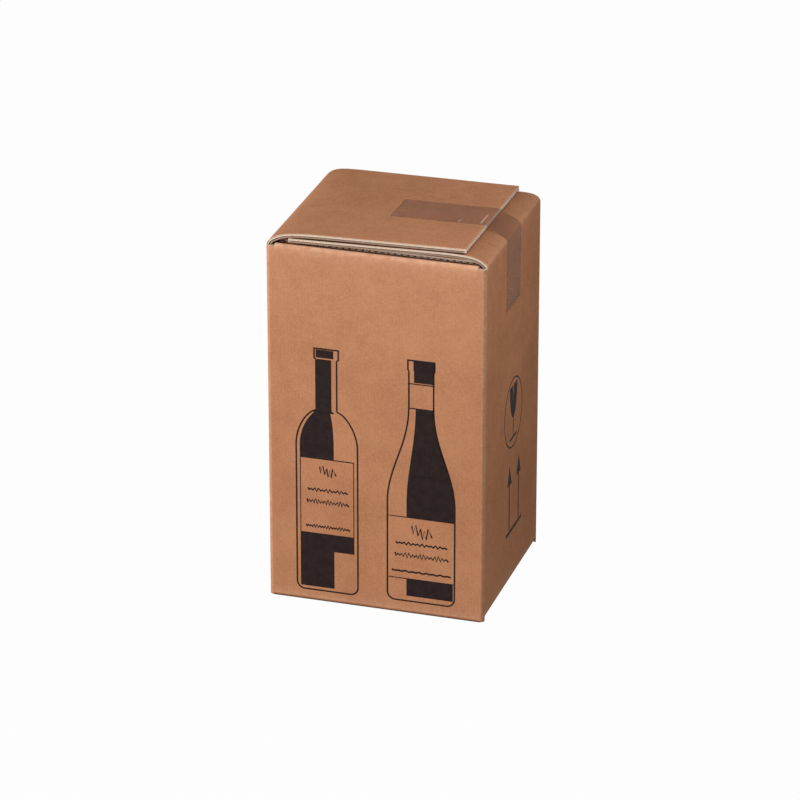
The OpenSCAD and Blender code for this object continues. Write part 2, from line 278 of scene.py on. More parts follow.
def make_piece(name, shells, finishes, node_name=None):
    """One mesh from several closed shells. A face takes the finish of its number, or else the last."""
    starts = np.cumsum([0] + [len(shell.points) for shell in shells[:-1]])
    points = np.concatenate([shell.points for shell in shells])
    faces = np.concatenate([shell.faces + start for shell, start in zip(shells, starts)])
    finish = np.concatenate([shell.finish for shell in shells])
    mesh = bpy.data.meshes.new(name)
    mesh.from_pydata((points * MM).tolist(), [], faces.tolist())
    mesh.polygons.foreach_set("use_smooth", np.ones(len(faces), bool))
    mesh.polygons.foreach_set("material_index", np.minimum(finish, len(finishes) - 1))
    mesh.update()
    mesh.set_sharp_from_angle(angle=SHARP_ANGLE)
    sheet = mesh.attributes.new("sheet", "FLOAT_VECTOR", "POINT")
    sheet.data.foreach_set("vector", (np.concatenate([shell.sheet for shell in shells]) * MM).ravel())
    # Per point: above 0 paler, from rubbing and from painted highlight and sheen; below 0 painted shade.
    wear = mesh.attributes.new("wear", "FLOAT", "POINT")
    wear.data.foreach_set("value", np.concatenate([shell.wear for shell in shells]))
    for material in finishes:
        mesh.materials.append(material)
    made = bpy.data.objects.new(name, mesh)
    bpy.context.scene.collection.objects.link(made)
    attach(made, "root")
    if node_name:
        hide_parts(node_name)
    size = (points.max(0) - points.min(0)).round(1)
    print(f"{name}: {len(shells)} shells, {2 * len(faces)} triangles, {size} mm")


# %% [markdown]
# ## Kraft paper
# Brown kraft paper is never one colour. Wide clouds and small flecks come from the pulp, short fibres
# lie across the flutes, and the flutes underneath print through as faint stripes, 3.6 mm apart. At a
# fold the surface is rubbed and paler. All of it is noise on the object's own coordinates or on the
# flat blank, so it stays in place from every side. The paler colour also carries a painted highlight
# on the front fold and a painted sheen on the front wall, and a near black colour carries painted
# shade in hollows, on hidden sides and along the bottom folds.

# %% Kraft finish
KRAFT_DARK = (0.438, 0.190, 0.094, 1.0)
KRAFT_LIGHT = (0.558, 0.253, 0.131, 1.0)
# The paler colour below serves rubbed folds and edges, and also a painted highlight on the front fold and a
# painted sheen on the front wall; the near black one after it is painted shade.
KRAFT_WORN_AND_HIGHLIGHT = (0.780, 0.480, 0.320, 1.0)
KRAFT_SHADE = (0.075, 0.036, 0.022, 1.0)
DIVIDER_DARK = (0.310, 0.165, 0.090, 1.0)
DIVIDER_LIGHT = (0.470, 0.265, 0.155, 1.0)
CLOUDS, SPOTS, FLECKS, RUBS, GRAIN = 11.0, 75.0, 430.0, 160.0, 1500.0
FIBRE_ACROSS, FIBRE_ALONG = 240.0, 1250.0
FLUTE_TONE, FLUTE_RELIEF = 0.008, 0.12


def kraft_finish(name, dark, light, paling_colour=None):
    """Cloudy brown paper. With a paling colour, it follows the sheet and shows its flutes, folds that are
    paler from rubbing and from painted highlight and sheen, and painted shade.
    """
    material, tree, shader = new_finish(name, 0.8, 0.08)
    place = node(tree, "ShaderNodeTexCoord").outputs["Object"]
    sheet = place
    if paling_colour:
        sheet = node(tree, "ShaderNodeAttribute", attribute_name="sheet").outputs["Vector"]
    stretch = (FIBRE_ACROSS, FIBRE_ALONG, FIBRE_ALONG)
    fibre_place = node(tree, "ShaderNodeMapping", {"Vector": sheet, "Scale": stretch}).outputs[0]
    fibres = noise(tree, fibre_place, 1.0, 3.0)
    tone = times(tree, noise(tree, place, CLOUDS, 3.0), 0.30)
    for part, share in (
            (noise(tree, place, SPOTS, 4.0), 0.20), (fibres, 0.20), (noise(tree, place, FLECKS), 0.30)):
        tone = sums(tree, tone, part, share)
    relief = sums(tree, times(tree, noise(tree, place, GRAIN, 1.0), 0.4), fibres, 0.6)
    if paling_colour:
        across = node(tree, "ShaderNodeSeparateXYZ", {0: sheet}).outputs[0]
        turn = times(tree, across, 2 * np.pi / (FINE_PITCH * MM))
        flutes = node(tree, "ShaderNodeMath", {0: turn}, operation="SINE").outputs[0]
        tone = sums(tree, tone, flutes, FLUTE_TONE)
        relief = sums(tree, relief, flutes, FLUTE_RELIEF)
    colour = mixed(tree, between(tree, tone, 0.37, 0.63), dark, light)
    if paling_colour:
        # Above 0 the paper is paler, from rubbing and from painted highlight and sheen; below 0 it takes
        # painted shade.
        paling_and_shade = node(tree, "ShaderNodeAttribute", attribute_name="wear").outputs["Fac"]
        uneven = between(tree, noise(tree, place, RUBS, 4.0), 0.25, 0.75, 0.35, 1.0)
        colour = mixed(tree, times(tree, paling_and_shade, uneven), colour, paling_colour)
        colour = mixed(tree, times(tree, paling_and_shade, -1.0), colour, KRAFT_SHADE)
    tree.links.new(colour, shader.inputs["Base Color"])
    tree.links.new(between(tree, tone, 0.3, 0.7, 0.88, 0.74), shader.inputs["Roughness"])
    bumps(tree, shader, relief, 0.35, 0.0004)
    return material


kraft = kraft_finish("kraft_liner", KRAFT_DARK, KRAFT_LIGHT, KRAFT_WORN_AND_HIGHLIGHT)
divider_kraft = kraft_finish("divider_kraft", DIVIDER_DARK, DIVIDER_LIGHT)
print("kraft finishes:", kraft.name, divider_kraft.name)

# %% [markdown]
# ## Cut board
# A cut through the board shows pale papers with dark hollows between them. Where a rim is one flat
# strip, the finish draws that section from the depth of each point: three straight papers, and a wavy
# one in each layer, with painted shade for the hollows between them. Where every paper is modelled,
# only the pale colour is left.

# %% Cut finish
CUT_PALE = (0.950, 0.780, 0.625, 1.0)
CUT_FIBRE = (0.800, 0.600, 0.440, 1.0)
# The next two colours are a painted highlight on the cut ends of the wavy papers.
FLUTE_HIGHLIGHT = (0.960, 0.900, 0.820, 1.0)
FLUTE_HIGHLIGHT_DULL = (0.900, 0.780, 0.670, 1.0)
# Painted shade for the hollows between papers.
HOLLOW_SHADE = (0.090, 0.042, 0.022, 1.0)
TUFTS, TUFT_HEIGHT = 2500.0, 0.0003
CUT_GLOSS = (0.9, 0.15)


def paper_line(tree, depth, middle, thickness):
    """1 within half a thickness of the middle depth, and 0 outside."""
    gap = node(tree, "ShaderNodeMath", {0: depth, 1: middle}, operation="SUBTRACT").outputs[0]
    gap = node(tree, "ShaderNodeMath", {0: gap}, operation="ABSOLUTE").outputs[0]
    return between(tree, gap, 0.42 * thickness * MM, 0.62 * thickness * MM, 1.0, 0.0)


def wave_line(tree, across, depth, middle, height, pitch):
    """A wavy paper: its middle depth swings with the sine of the place across the flutes."""
    turn = times(tree, across, 2 * np.pi / (pitch * MM))
    swing = node(tree, "ShaderNodeMath", {0: turn}, operation="SINE").outputs[0]
    offset = times(tree, swing, (height - MEDIUM_T) / 2 * MM)
    moved = node(tree, "ShaderNodeMath", {0: depth, 1: offset}, operation="SUBTRACT").outputs[0]
    return paper_line(tree, moved, middle * MM, MEDIUM_T)


cut, tree, shader = new_finish("cut_board", *CUT_GLOSS)
place = node(tree, "ShaderNodeTexCoord").outputs["Object"]
sheet = node(tree, "ShaderNodeAttribute", attribute_name="sheet").outputs["Vector"]
across, _, depth = node(tree, "ShaderNodeSeparateXYZ", {0: sheet}).outputs
paper = paper_line(tree, depth, LINER_T / 2 * MM, LINER_T)
for middle in (1.5 * LINER_T + FINE_H, BOARD_T - LINER_T / 2):
    paper = sums(tree, paper, paper_line(tree, depth, middle * MM, LINER_T))
for top, height, pitch in ((LINER_T, FINE_H, FINE_PITCH), (2 * LINER_T + FINE_H, COARSE_H, COARSE_PITCH)):
    paper = sums(tree, paper, wave_line(tree, across, depth, top + height / 2, height, pitch))
paper = node(tree, "ShaderNodeClamp", {0: paper}).outputs[0]
pale = mixed(tree, between(tree, noise(tree, place, 900.0, 3.0), 0.35, 0.65), CUT_FIBRE, CUT_PALE)
# Between the drawn papers the rim gets painted shade for the hollows.
tree.links.new(mixed(tree, paper, HOLLOW_SHADE, pale), shader.inputs["Base Color"])
bumps(tree, shader, noise(tree, place, TUFTS), 0.5, TUFT_HEIGHT)

fluting, tree, shader = new_finish("fluting_paper", *CUT_GLOSS)
place = node(tree, "ShaderNodeTexCoord").outputs["Object"]
# Above 0 the wavy papers' cut ends get a painted highlight; below 0 they get painted shade.
mouth = node(tree, "ShaderNodeAttribute", attribute_name="wear").outputs["Fac"]
fibre = between(tree, noise(tree, place, 700.0, 3.0), 0.3, 0.7)
inside, end = mixed(tree, fibre, CUT_FIBRE, CUT_PALE), mixed(tree, fibre, FLUTE_HIGHLIGHT_DULL, FLUTE_HIGHLIGHT)
inside = mixed(tree, times(tree, mouth, -1.0), inside, HOLLOW_SHADE)
tree.links.new(mixed(tree, mouth, inside, end), shader.inputs["Base Color"])
bumps(tree, shader, noise(tree, place, TUFTS), 0.4, TUFT_HEIGHT)
print("cut finishes:", cut.name, fluting.name)

# %% [markdown]
# ## The four walls
# On the real box the walls are one strip of board, scored and folded round three corners, and glued to
# itself at the fourth. So they are one strip here too: a path round the plan, straight runs joined by
# quarter bends, carried up from the bottom folds to the top folds. Each wall is dished inwards by half
# a millimetre, as board that was once flat and is held only at its folds always is.

# %% Wall path
PANEL_STEPS, BEND_STEPS, WALL_ROWS = 40, 8, 56
STEP = 0.04
DISH = 0.5
RIPPLE = 0.07
# The front fold is paler than the other folds, partly from rubbing and partly as a painted highlight.
FRONT_FOLD_WEAR_AND_HIGHLIGHT, FOLD_WEAR, FOLD_RUB, FOLD_REACH = 0.9, 0.3, 5.6, 4.0
LOW_WEAR, LOW_REACH = 0.42, 5.0
# Painted sheen: the front wall is paler towards its top.
FRONT_SHEEN, FRONT_SHEEN_REACH = 0.15, 90.0
BEND_WEAR = 0.34
JOINT_GAP = 0.6
JOINT_R = 1.2
LOW_FRONT = FOLD_R
LOW_SIDE = INNER_BOTTOM_Z + FOLD_R


def crowded(steps):
    """Numbers from 0 to 1 that lie closer together at both ends: half of 1 - cos."""
    return 0.5 - 0.5 * np.cos(np.linspace(0, np.pi, steps))


def panel(start, end, normal, slots=()):
    """A straight run of the path: places, normals, and how far the wall may dish, 0 at the ends.

    At a slot, given by its x, two places lie close together, because the wall's end steps there."""
    start, end = np.array(start), np.array(end)
    steps = [(x + side - start[0]) / (end - start)[0] for x in slots for side in (-STEP / 2, STEP / 2)]
    share = np.sort(np.append(crowded(PANEL_STEPS), steps))[:, None]
    return start + (end - start) * share, np.tile(normal, (len(share), 1)), 1 - (2 * share[:, 0] - 1) ** 8


def corner(centre, radius, start, end):
    """A bend of the path about a centre, between two angles in degrees."""
    angle = np.radians(np.linspace(start, end, BEND_STEPS + 1))
    normals = np.stack([np.cos(angle), np.sin(angle)], -1)
    return np.array(centre) + radius * normals, normals, np.zeros(BEND_STEPS + 1)


X, Y, R = BOX_W / 2, BOX_D / 2, FOLD_R
joint_y = Y - BOARD_T - JOINT_GAP
side_y = SIDE_FLAP_W / 2
slot_x = INNER_TOP_W / 2 + SLOT_KERF
low_slot_x = OUTER_BOTTOM_W / 2 + SLOT_KERF / 2
slots = (-slot_x, slot_x)
stretches = [
    panel((-X, Y), (X - R, Y), (0, 1), slots), corner((X - R, Y - R), R, 90, 0),
    panel((X, side_y), (X, -side_y), (1, 0)), corner((X - R, R - Y), R, 0, -90),
    panel((X - R, -Y), (R - X, -Y), (0, -1), slots), corner((R - X, R - Y), R, -90, -180),
    panel((-X, -side_y), (-X, joint_y - JOINT_R), (-1, 0)),
    corner((JOINT_R - X, joint_y - JOINT_R), JOINT_R, 180, 90)]
wall_xy, wall_normal, wall_free = (np.concatenate(part) for part in zip(*stretches))
moves_on = np.append(True, np.hypot(*np.diff(wall_xy, axis=0).T) > 0.01)
wall_xy, wall_normal, wall_free = wall_xy[moves_on], wall_normal[moves_on], wall_free[moves_on]
wall_across = np.append(0, np.cumsum(np.hypot(*np.diff(wall_xy, axis=0).T)))
print(f"wall path: {len(wall_xy)} places, {wall_across[-1]:.1f} mm round")

# %% Walls
def dish(free_across, free_up, across, z):
    """How far a wall lies inside its folds: a shallow dish, with ripples that follow the blank."""
    ripple = RIPPLE * np.sin(across / 17.0 + z / 43.0) * np.sin(z / 29.0 - across / 61.0)
    return free_across * free_up * (DISH + ripple)


def wall_free_up(z, low):
    """How far a wall may dish at a height: 0 at its bottom and top folds, 1 between."""
    return np.clip(1 - (2 * (z - low) / (RING_TOP - low) - 1) ** 8, 0, 1)


is_side = (np.abs(wall_normal[:, 0]) > 0.99) & (np.abs(wall_xy[:, 1]) < side_y + 0.01)
in_slot, in_low_slot = (~is_side & (np.abs(wall_xy[:, 0]) > x) for x in (slot_x, low_slot_x))
wall_low = np.where(is_side, LOW_SIDE, np.where(in_low_slot, SLOT_DEPTH, LOW_FRONT))
wall_high = np.where(in_slot, WALL_H - SLOT_DEPTH, RING_TOP)
up = crowded(WALL_ROWS)[:, None]
wall_z = wall_low + up * (wall_high - wall_low)
inward = dish(wall_free, wall_free_up(wall_z, wall_low), wall_across, wall_z)


def wall_grid(depth):
    """The strip at a depth under its outer paper: path - (depth + dish) * normal, at every height."""
    flat = wall_xy - (depth + inward)[..., None] * wall_normal
    return np.concatenate([flat, wall_z[..., None]], -1)


from_top = wall_high - wall_z
is_front = wall_normal[:, 1] < -0.99
wall_paling = LOW_WEAR * np.exp(-np.abs(wall_z - wall_low) / LOW_REACH)
# Paler near the top folds; on the front fold this is partly a painted highlight.
wall_paling += np.where(is_front, FRONT_FOLD_WEAR_AND_HIGHLIGHT, FOLD_WEAR) * np.exp(-(from_top + FOLD_RUB) / FOLD_REACH)
# Painted sheen on the front wall, fading downwards from its top fold.
wall_paling += FRONT_SHEEN * is_front * np.exp(-from_top / FRONT_SHEEN_REACH)
wall_paling = np.maximum(wall_paling, BEND_WEAR * (np.abs(wall_normal).max(1) < 0.999))
make_piece(
    "carton_walls", [slab(wall_grid(0.0), wall_grid(BOARD_T), wall_across, wall_z, wall_paling)],
    [kraft, cut], "carton")

# %% [markdown]
# ## How a flap bends
# A flap goes over from its wall in a round fold and then runs out to its free edge. Its section is a
# list of stations: a place on the outer paper, as distance from the wall and height over the fold
# line, and the direction out of the paper. The two outer top flaps spring up from their folds and
# level out, since board resists the fold and lies on other flaps. The section differs at the flap's
# two side edges, and the surface is ruled straight across between them.

# %% Stations
Stations = namedtuple("Stations", "places normals")
ARCH_STEPS = 22
END_SHARES = (0.985, 0.996, 0.9985, 1.0)


def fold(centre_z, angle):
    """A quarter bend of the outer paper from upright to an angle over level, with radius FOLD_R."""
    turn = np.radians(np.linspace(180, 90 + angle, BEND_STEPS + 1))
    normals = np.stack([np.cos(turn), np.sin(turn)], -1)
    return np.array([FOLD_R, centre_z]) + FOLD_R * normals, normals


def along_curve(distance, height, slope):
    """Stations on a curve height(distance). The normal is (-slope, 1), made one long."""
    normals = np.stack([-slope, np.ones_like(slope)], -1)
    return np.stack([distance, height], -1), normals / np.linalg.norm(normals, axis=1)[:, None]


def spread(start, end):
    """Distances from start to end, close together at the fold and again at the free edge."""
    share = np.append(np.linspace(0, 1, ARCH_STEPS + 1)[1:-1] ** 2, END_SHARES)
    return start + (end - start) * share


def arched(crown, reach, rise):
    """z(d) = crown * (1 - exp(-d / reach)) + rise * d / length, with a round fold under its start."""
    def height(d):
        return crown * (1 - np.exp(-d / reach)) + rise * d / OUTER_LEN

    def slope(d):
        return crown / reach * np.exp(-d / reach) + rise / OUTER_LEN

    angle = np.arctan(slope(0.0))
    start = FOLD_R * (1 - np.sin(angle))
    centre_z = height(start) - FOLD_R * np.cos(angle)
    d = spread(start, OUTER_LEN)
    upright = (np.array([[0.0, -FOLD_R]]), np.array([[-1.0, 0.0]]))
    parts = [upright, fold(centre_z, np.degrees(angle)), along_curve(d, height(d), slope(d))]
    return Stations(*(np.concatenate(part) for part in zip(*parts)))


def straight(end_z, length):
    """A level fold, then a straight run to the height end_z at the free edge."""
    angle = np.arctan(end_z / (length - FOLD_R))
    bend_places, bend_normals = fold(-FOLD_R, np.degrees(angle))
    d = spread(bend_places[-1, 0], length)
    height = bend_places[-1, 1] + np.tan(angle) * (d - bend_places[-1, 0])
    run = along_curve(d, height, np.full_like(d, np.tan(angle)))
    return Stations(np.concatenate([bend_places, run[0]]), np.concatenate([bend_normals, run[1]]))


def dipped(angle, depth, length):
    """A fold past level, then z(d) falls to -depth by an exponential curve and stays level."""
    bend_places, bend_normals = fold(-FOLD_R, -angle)
    start, top = bend_places[-1]
    drop = depth + top
    reach = drop / np.tan(np.radians(angle))
    d = spread(start, length)
    height = top - drop * (1 - np.exp(-(d - start) / reach))
    run = along_curve(d, height, -drop / reach * np.exp(-(d - start) / reach))
    return Stations(np.concatenate([bend_places, run[0]]), np.concatenate([bend_normals, run[1]]))


# %% Flaps in place
Flap = namedtuple("Flap", "first second width origin outwards sideways fold_z up")
TWO = 2 * BOARD_T
FRONT_DIP = 35.0
BACK_SHORT, FRONT_SHORT, MEETING_GAP = 6.0, 15.0, 1.0
BACK_LEN = BOX_D - FOLD_R * (1 + np.sin(np.radians(FRONT_DIP))) - BACK_SHORT
FRONT_LEN = BOX_D - FRONT_SHORT
MEETING_LEN = (BOX_D - MEETING_GAP) / 2
INNER_BOTTOM_LEN = 98.0

left_flap = Flap(
    arched(TWO + 3.2, 11.0, 4.2), arched(TWO + 1.4, 7.0, 1.6), SIDE_FLAP_W,
    (-X, -side_y), (1, 0), (0, 1), WALL_H, 1)
right_flap = Flap(
    arched(TWO + 2.6, 10.0, -5.2), arched(BOARD_T + 1.6, 4.5, -1.1), SIDE_FLAP_W,
    (X, -side_y), (-1, 0), (0, 1), WALL_H, 1)
back_section = straight(BOARD_T - 3.0, BACK_LEN)
back_flap = Flap(
    back_section, back_section, INNER_TOP_W,
    (-INNER_TOP_W / 2, Y), (0, -1), (1, 0), WALL_H, 1)
front_section = dipped(FRONT_DIP, BOARD_T + 1.0, FRONT_LEN)
front_flap = Flap(
    front_section, front_section, INNER_TOP_W, (INNER_TOP_W / 2, -Y), (0, 1), (-1, 0), WALL_H, 1)
meeting, inner = straight(0.0, MEETING_LEN), straight(0.0, INNER_BOTTOM_LEN)
bottom_flaps = {
    "bottom_front_flap": Flap(
        meeting, meeting, OUTER_BOTTOM_W, (OUTER_BOTTOM_W / 2, -Y), (0, 1), (-1, 0), 0.0, -1),
    "bottom_back_flap": Flap(
        meeting, meeting, OUTER_BOTTOM_W, (-OUTER_BOTTOM_W / 2, Y), (0, -1), (1, 0), 0.0, -1),
    "bottom_left_flap": Flap(
        inner, inner, SIDE_FLAP_W, (-X, -side_y), (1, 0), (0, 1), INNER_BOTTOM_Z, -1),
    "bottom_right_flap": Flap(
        inner, inner, SIDE_FLAP_W, (X, -side_y), (-1, 0), (0, 1), INNER_BOTTOM_Z, -1)}
print("left flap's free edge is", left_flap.first.places[-1].round(1), "from its fold at the front")


def section_at(flap, across):
    """Places and normals of the outer paper at one or more distances across the flap."""
    share = (np.atleast_1d(across) / flap.width)[:, None]
    places = flap.first.places[:, None] * (1 - share) + flap.second.places[:, None] * share
    normals = flap.first.normals[:, None] * (1 - share) + flap.second.normals[:, None] * share
    return places, normals / np.linalg.norm(normals, axis=-1, keepdims=True)


def flap_grid(flap, across, depth):
    """The flap at a depth under its outer paper: place - depth * normal, set out from its fold."""
    places, normals = section_at(flap, across)
    inset = places - np.broadcast_to(depth, across.shape)[:, None] * normals
    flat = inset[..., :1] * np.array(flap.outwards) + across[:, None] * np.array(flap.sideways)
    z = flap.fold_z + flap.up * inset[..., 1:]
    return np.concatenate([flat + np.array(flap.origin), z], -1)


# %% [markdown]
# ## Five papers
# The flaps' cut edges are what one sees first on such a box: rows of small arches between pale papers.
# They are real shapes here. Three flat papers and two wavy ones run the whole length of a flap, each a
# closed sheet of its own. A wavy paper is the same flap surface at a depth that swings with the cosine
# of the place across, so the waves follow the arch of the flap to its free edge.
# The hollows and the papers' hidden sides get painted shade, and the cut ends of the wavy papers a row of
# painted highlight and painted shade.

# %% Papers
WAVE_POINTS = 9
EDGE_CUT = 0.25
EDGE_WEAR, EDGE_REACH = 0.45, 0.9
# The painted highlight on the flutes' cut ends fades over this depth from the free edge.
MOUTH_DEPTH = 0.7
# Amounts of painted shade: on sides that face flutes, at the flap's side edges, and deep in the hollows.
SHADE, SIDE_SHADE, DEEP_SHADE = 0.35, 0.55, 0.9
HOLLOW_FROM = 1.5
# From this run on, the right flap's outer paper gets painted shade where the left flap lies over it.
COVERED_FROM = OUTER_REVEAL + 9.0
FLUTING = 2
FLAT_COLUMNS = 26


def flap_paling(flap, across, fold_paling=FOLD_WEAR):
    """The run from the wall, and how much paler the paper is: at the fold, where on the front fold this is
    partly a painted highlight, and in a line at the cut edges.
    """
    places, _ = section_at(flap, across)
    run = np.concatenate([np.zeros((1, len(across))), np.cumsum(
        np.linalg.norm(np.diff(places, axis=0), axis=-1), axis=0)])
    from_fold = np.abs(run - FOLD_RUB)
    from_edge = np.minimum(np.minimum(across, flap.width - across), run[-1] - run)
    wear = fold_paling * np.exp(-from_fold / FOLD_REACH) + EDGE_WEAR * np.exp(-from_edge / EDGE_REACH)
    return run, wear


def flat_paper(flap, top, outside=None, inside=None, covered=np.inf):
    """A flat paper from a depth down. A side that faces flutes is given painted shade for their hollows.

    From the distance covered on, another flap lies over it and its outside gets painted shade too."""
    across = crowded(FLAT_COLUMNS) * flap.width
    along, wear = flap_paling(flap, across)
    outside = np.where(along > covered, -DEEP_SHADE, wear) if outside is None else outside
    inside = wear if inside is None else inside
    return slab(
        flap_grid(flap, across, top), flap_grid(flap, across, top + LINER_T),
        across, along, outside, PAPER_DEPTHS, inside)


def in_shade(shell):
    """The same paper with its cut rim in the same painted shade as its sides."""
    return shell._replace(finish=0 * shell.finish)


def wavy_paper(flap, top, height, pitch, shades, light, swing):
    """A wavy paper in whole waves: depth = middle + (height - MEDIUM_T) / 2 * cos(2 pi wave).

    Its cut end gets a painted highlight where light + swing * cos(2 pi wave) is above 0 and painted shade
    where it is below, which makes a row of ticks; further from the cut end it gets painted shade.
    shades tells how much painted shade it gets at the flap's side edges and further in."""
    waves = round((flap.width - 2 * EDGE_CUT) / pitch)
    wave = np.linspace(0, waves, waves * WAVE_POINTS + 1)
    across = EDGE_CUT + wave / waves * (flap.width - 2 * EDGE_CUT)
    middle = top + height / 2 + (height - MEDIUM_T) / 2 * np.cos(2 * np.pi * wave)
    along, _ = flap_paling(flap, across)
    mouth = np.exp((along - along[-1]) / MOUTH_DEPTH)
    ticks = light + swing * np.cos(2 * np.pi * wave)
    from_side = np.minimum(across, flap.width - across)
    hollow = shades[1] + (shades[0] - shades[1]) * np.exp(-from_side / HOLLOW_FROM)
    shell = slab(
        flap_grid(flap, across, middle - MEDIUM_T / 2), flap_grid(flap, across, middle + MEDIUM_T / 2),
        across, along, mouth * ticks - (1 - mouth) * hollow, PAPER_DEPTHS)
    return shell._replace(finish=np.full_like(shell.finish, FLUTING))


def five_papers(flap, fine_ticks, coarse_ticks, covered=np.inf):
    """The papers of a double-wall flap, from the outside in."""
    # Sides that face the flutes, and the lowest paper with its cut rim, get painted shade.
    return [
        flat_paper(flap, 0.0, inside=-SHADE, covered=covered),
        wavy_paper(flap, LINER_T, FINE_H, FINE_PITCH, (0.0, SHADE), *fine_ticks),
        flat_paper(flap, LINER_T + FINE_H, -SHADE, -DEEP_SHADE),
        wavy_paper(flap, 2 * LINER_T + FINE_H, COARSE_H, COARSE_PITCH, (SIDE_SHADE, DEEP_SHADE), *coarse_ticks),
        in_shade(flat_paper(flap, BOARD_T - LINER_T, -DEEP_SHADE))]


# Each pair sets a layer's flute ends: a level and a swing of painted highlight and painted shade along the
# waves.
flap_papers = {
    "left_flap": five_papers(left_flap, (0.3, 0.3), (0.45, 1.0)),
    # The right flap's outer paper gets painted shade where the left flap covers it.
    "right_flap": five_papers(right_flap, (0.0, 0.0), (0.0, 0.0), COVERED_FROM),
    "back_flap": five_papers(back_flap, (0.9, -0.9), (-0.6, -0.4))}
# The back flap's two lower flat papers get painted shade, their cut rims too.
flap_papers["back_flap"][2] = in_shade(flap_papers["back_flap"][2])
flap_papers["back_flap"][4] = in_shade(flat_paper(back_flap, BOARD_T - LINER_T, -DEEP_SHADE, -DEEP_SHADE))
for name, papers in flap_papers.items():
    make_piece(name, papers, [kraft, cut, fluting], "carton")

# %% [markdown]
# ## Plain flaps
# The front flap dives behind its fold and lies under all the others, and the bottom flaps lie flat on
# one another. Their cut ends are hidden or pressed together, so one closed sheet of board is enough,
# and the cut finish draws the section on its rim. The glued tab inside the back wall is cut slanting
# at both ends, so that it never catches.

# %% Plain sheets
# A line of painted shade round the lower half of each bottom fold, where it meets the floor.
FOOT_SHADE, FOOT_SHADE_AT, FOOT_SHADE_HALF = 0.9, 3.4, 2.0
TAB_W, TAB_END, TAB_SLANT = 35.0, 20.0, 12.0
TAB_GAP = 0.1
TAB_COLUMNS, TAB_ROWS = 8, 20


def board_sheet(flap, foot_shade=0.0, fold_paling=FOLD_WEAR):
    """A flap as one sheet of board, paler at its fold and cut edges. Below 0 the value is painted shade: a
    dark line round the lower half of the fold.
    """
    across = crowded(FLAT_COLUMNS) * flap.width
    along, wear = flap_paling(flap, across, fold_paling)
    line = (foot_shade > 0) * np.exp(-((along - FOOT_SHADE_AT) / FOOT_SHADE_HALF) ** 2)
    return slab(
        flap_grid(flap, across, 0.0), flap_grid(flap, across, BOARD_T), across, along,
        wear * (1 - line) - foot_shade * line)


# The front flap's fold is paler like the front wall's, partly as a painted highlight.
make_piece(
    "front_flap", [board_sheet(front_flap, fold_paling=FRONT_FOLD_WEAR_AND_HIGHLIGHT)], [kraft, cut], "carton")
for name, flap in bottom_flaps.items():
    make_piece(name, [board_sheet(flap, FOOT_SHADE)], [kraft, cut], "carton")

tab_across = np.linspace(0, TAB_W, TAB_COLUMNS)
tab_low = TAB_END + TAB_SLANT * tab_across / TAB_W
tab_z = tab_low + crowded(TAB_ROWS)[:, None] * (WALL_H - 2 * tab_low)


def tab_grid(depth):
    """The tab's sheet: along the inside of the back wall, with both ends slanting to its free edge."""
    x = np.broadcast_to(BOARD_T - X + tab_across, tab_z.shape)
    return np.stack([x, np.full_like(tab_z, Y - BOARD_T - DISH - TAB_GAP - depth), tab_z], -1)


make_piece(
    "glue_tab", [slab(tab_grid(0.0), tab_grid(BOARD_T), tab_across, tab_z, 0.0)],
    [kraft, cut], "carton")

# %% [markdown]
# ## Clear tape
# One strip of packing tape holds the outer flaps. It runs along the left flap, drops over its free
# edge, lies on the right flap and goes over the fold and down the right wall. The path is taken from
# the flaps themselves, at several places across the strip. Tape that was pressed down by hand keeps
# a few small creases, which stand up and carry a painted highlight, paler than the film. The film is
# see-through and darkens the board.

# %% Tape path
TAPE_W, TAPE_T, TAPE_GAP = 50.0, 0.1, 0.15
TAPE_ON_FLAP, TAPE_ON_WALL = 99.0, 77.0
LANDING = 11.5
TAPE_COLUMNS, FLAP_ROWS, BRIDGE_ROWS, DOWN_ROWS = 21, 260, 7, 30
CREASES = ((-29.5, 0.18, -24.0, -13.0), (-6.6, 0.012, -24.0, 7.0))
CREASE_HALF, CREASE_END, CREASE_LIFT = 0.55, 3.0, 0.35

tape_y = np.linspace(-TAPE_W / 2, TAPE_W / 2, TAPE_COLUMNS)
tape_across = tape_y + SIDE_FLAP_W / 2


def across_at(x, y):
    """How far along the blank a place of the wall path lies."""
    return wall_across[np.argmin(np.hypot(*(wall_xy - [x, y]).T))]


def right_wall_x(y, z):
    """The right wall's outer paper at a place: the box's side less its dish."""
    across = across_at(X, side_y) + side_y - y
    return X - dish(1 - (y / side_y) ** 8, wall_free_up(z, LOW_SIDE), across, z)


def flap_height(flap, across, distance):
    """Height of the flap's outer paper over its fold line, at distances from its wall."""
    places, _ = section_at(flap, across)
    return np.stack([np.interp(distance, p[:, 0], p[:, 1]) for p in places.transpose(1, 0, 2)], -1)


on_left = np.linspace(OUTER_LEN - TAPE_ON_FLAP, OUTER_LEN, FLAP_ROWS)
right_places, _ = section_at(right_flap, tape_across)
keep = right_places[:, 0, 0] <= LANDING
on_right = right_places[keep][::-1]
down = np.linspace(RING_TOP, WALL_H - TAPE_ON_WALL, DOWN_ROWS)[1:, None]
left_x = np.broadcast_to((on_left - X)[:, None], (len(on_left), TAPE_COLUMNS))
left_z = WALL_H + flap_height(left_flap, tape_across, on_left)
bridge = np.linspace(0, 1, BRIDGE_ROWS)[1:-1, None]
land_x, land_z = X - on_right[0, :, 0], WALL_H + on_right[0, :, 1]
tape_x = np.concatenate([
    left_x, left_x[-1] + bridge * (land_x - left_x[-1]), X - on_right[:, :, 0], right_wall_x(tape_y, down)])
tape_z = np.concatenate([
    left_z, left_z[-1] + bridge * (land_z - left_z[-1]), WALL_H + on_right[:, :, 1],
    np.broadcast_to(down, (len(down), TAPE_COLUMNS))])
print(f"tape path: {tape_x.shape[0]} places along, {tape_x.shape[1]} across")

